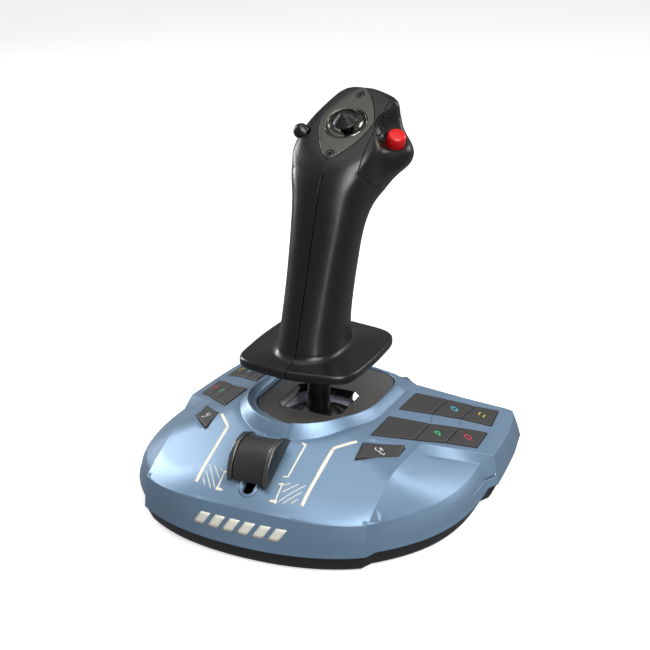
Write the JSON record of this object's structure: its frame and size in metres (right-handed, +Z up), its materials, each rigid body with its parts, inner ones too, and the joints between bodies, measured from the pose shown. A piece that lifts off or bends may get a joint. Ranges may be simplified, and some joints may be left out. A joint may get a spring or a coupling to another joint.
{
  "type": "flight joystick",
  "caption": "Desk flight stick: twisting pistol-shaped grip with hat, trigger and thumb buttons on a swept blue base with key rows and a sliding half-round throttle.",
  "frame": {"origin": "centre of the footprint's bounding box, on the desk surface", "axes": "+X is the pilot's right, +Y points away from the pilot, +Z is up"},
  "size_m": [0.2258, 0.208, 0.2396],
  "materials": {
    "blue_paint": "satin metallic light blue paint on moulded plastic",
    "black_plastic": "satin black moulded plastic",
    "cover_plastic": "dark charcoal moulded plastic",
    "key_plastic": "satin dark warm grey plastic",
    "plate_grey": "satin grey-brown plastic",
    "rail_metal": "gunmetal coloured satin trim",
    "steel": "plain steel",
    "olive_metal": "dark olive gunmetal plate",
    "bowl_tint": "lavender tinted satin plastic",
    "gloss_black": "glossy black plastic",
    "red_plastic": "glossy red plastic",
    "rubber": "matt black rubber",
    "circuit_green": "green circuit board",
    "white_plastic": "natural white moulded plastic"
  },
  "bodies": {
    "base": {"base_top_shell": "blue_paint", "bottom_cover": "cover_plastic", "foot_1": "rubber", "foot_2": "rubber", "foot_3": "rubber", "foot_4": "rubber", "cover_screw_1": "steel", "cover_screw_2": "steel", "cover_screw_3": "steel", "cover_screw_4": "steel", "ballast_plate": "steel", "main_board": "circuit_green", "cable_gland": "rubber", "button_board_left": "circuit_green", "button_board_right": "circuit_green", "gimbal_plate": "plate_grey", "gimbal_bowl": "bowl_tint", "gimbal_housing": "white_plastic", "slot_collar": "blue_paint", "throttle_guide_rod": "steel"},
    "yoke": {"gimbal_yoke": "black_plastic", "roll_spring": "steel"},
    "shaft": {"stick_shaft": "black_plastic", "dust_dome": "gloss_black", "pitch_spring": "steel"},
    "grip": {"grip_left": "black_plastic", "grip_right": "black_plastic", "module_left": "black_plastic", "module_right": "black_plastic", "hat_plate": "olive_metal", "hat_screw_low": "steel", "hat_screw_high": "steel", "hat_bowl": "gloss_black", "trigger_pin": "steel", "grip_board": "circuit_green"},
    "hat_ring": {"hat_pivot_ring": "steel"},
    "hat": {"hat_cap": "gloss_black"},
    "trigger": {"trigger": "black_plastic"},
    "red_button": {"red_button": "red_plastic"},
    "left_button": {"left_button": "gloss_black"},
    "throttle": {"throttle_knob": "key_plastic", "throttle_cheek_left": "rail_metal", "throttle_cheek_right": "rail_metal", "throttle_carriage": "black_plastic"},
    "key_left_front_inner": {"key_left_front_inner": "key_plastic"},
    "key_left_front_middle": {"key_left_front_middle": "key_plastic"},
    "key_left_front_outer": {"key_left_front_outer": "key_plastic"},
    "key_left_rear_inner": {"key_left_rear_inner": "key_plastic"},
    "key_left_rear_middle": {"key_left_rear_middle": "key_plastic"},
    "key_left_rear_outer": {"key_left_rear_outer": "key_plastic"},
    "key_right_front_inner": {"key_right_front_inner": "key_plastic"},
    "key_right_front_middle": {"key_right_front_middle": "key_plastic"},
    "key_right_front_outer": {"key_right_front_outer": "key_plastic"},
    "key_right_rear_inner": {"key_right_rear_inner": "key_plastic"},
    "key_right_rear_middle": {"key_right_rear_middle": "key_plastic"},
    "key_right_rear_outer": {"key_right_rear_outer": "key_plastic"},
    "key_left_share": {"key_left_share": "key_plastic"},
    "key_right_share": {"key_right_share": "key_plastic"}
  },
  "joints": [
    {"name": "stick_roll", "type": "hinge", "parent": "base", "child": "yoke", "pos_m": [0, 0.009, 0.033], "axis": [0, 1, 0], "range_deg": [-16, 16], "stiffness_Nm_per_rad": 4},
    {"name": "stick_pitch", "type": "hinge", "parent": "yoke", "child": "shaft", "pos_m": [0, 0.009, 0.033], "axis": [1, 0, 0], "range_deg": [-16, 16], "stiffness_Nm_per_rad": 4},
    {"name": "grip_twist", "type": "hinge", "parent": "shaft", "child": "grip", "pos_m": [0, 0.009, 0.108], "axis": [0, 0, 1], "range_deg": [-15, 15], "stiffness_Nm_per_rad": 1},
    {"name": "hat_fore_aft", "type": "hinge", "parent": "grip", "child": "hat_ring", "pos_m": [0, 0.05273, 0.21576], "axis": [1, 0, 0], "range_deg": [-8, 8], "stiffness_Nm_per_rad": 0.06},
    {"name": "hat_left_right", "type": "hinge", "parent": "hat_ring", "child": "hat", "pos_m": [0, 0.05273, 0.21576], "axis": [0, 0.8714, 0.4906], "range_deg": [-8, 8], "stiffness_Nm_per_rad": 0.06},
    {"name": "trigger_pull", "type": "hinge", "parent": "grip", "child": "trigger", "pos_m": [0, 0.073, 0.198], "axis": [-1, 0, 0], "range_deg": [0, 5], "stiffness_Nm_per_rad": 0.3},
    {"name": "red_button_press", "type": "slide", "parent": "grip", "child": "red_button", "axis": [-0.3104, 0.3805, -0.8711], "range_m": [0, 0.0015], "stiffness_N_per_m": 500},
    {"name": "left_button_press", "type": "slide", "parent": "grip", "child": "left_button", "axis": [0.8004, 0.1501, -0.5803], "range_m": [0, 0.001], "stiffness_N_per_m": 500},
    {"name": "throttle_slide", "type": "slide", "parent": "base", "child": "throttle", "axis": [0, 0.9348, 0.3551], "range_m": [-0.011, 0.007]},
    {"name": "key_left_front_inner_press", "type": "slide", "parent": "base", "child": "key_left_front_inner", "axis": [0, 0, -1], "range_m": [0, 0.0012], "stiffness_N_per_m": 500},
    {"name": "key_left_front_middle_press", "type": "slide", "parent": "base", "child": "key_left_front_middle", "axis": [0, 0, -1], "range_m": [0, 0.0012], "stiffness_N_per_m": 500},
    {"name": "key_left_front_outer_press", "type": "slide", "parent": "base", "child": "key_left_front_outer", "axis": [0, 0, -1], "range_m": [0, 0.0012], "stiffness_N_per_m": 500},
    {"name": "key_left_rear_inner_press", "type": "slide", "parent": "base", "child": "key_left_rear_inner", "axis": [0, 0, -1], "range_m": [0, 0.0012], "stiffness_N_per_m": 500},
    {"name": "key_left_rear_middle_press", "type": "slide", "parent": "base", "child": "key_left_rear_middle", "axis": [0, 0, -1], "range_m": [0, 0.0012], "stiffness_N_per_m": 500},
    {"name": "key_left_rear_outer_press", "type": "slide", "parent": "base", "child": "key_left_rear_outer", "axis": [0, 0, -1], "range_m": [0, 0.0012], "stiffness_N_per_m": 500},
    {"name": "key_right_front_inner_press", "type": "slide", "parent": "base", "child": "key_right_front_inner", "axis": [0, 0, -1], "range_m": [0, 0.0012], "stiffness_N_per_m": 500},
    {"name": "key_right_front_middle_press", "type": "slide", "parent": "base", "child": "key_right_front_middle", "axis": [0, 0, -1], "range_m": [0, 0.0012], "stiffness_N_per_m": 500},
    {"name": "key_right_front_outer_press", "type": "slide", "parent": "base", "child": "key_right_front_outer", "axis": [0, 0, -1], "range_m": [0, 0.0012], "stiffness_N_per_m": 500},
    {"name": "key_right_rear_inner_press", "type": "slide", "parent": "base", "child": "key_right_rear_inner", "axis": [0, 0, -1], "range_m": [0, 0.0012], "stiffness_N_per_m": 500},
    {"name": "key_right_rear_middle_press", "type": "slide", "parent": "base", "child": "key_right_rear_middle", "axis": [0, 0, -1], "range_m": [0, 0.0012], "stiffness_N_per_m": 500},
    {"name": "key_right_rear_outer_press", "type": "slide", "parent": "base", "child": "key_right_rear_outer", "axis": [0, 0, -1], "range_m": [0, 0.0012], "stiffness_N_per_m": 500},
    {"name": "key_left_share_press", "type": "slide", "parent": "base", "child": "key_left_share", "axis": [0, 0, -1], "range_m": [0, 0.0012], "stiffness_N_per_m": 500},
    {"name": "key_right_share_press", "type": "slide", "parent": "base", "child": "key_right_share", "axis": [0, 0, -1], "range_m": [0, 0.0012], "stiffness_N_per_m": 500}
  ]
}
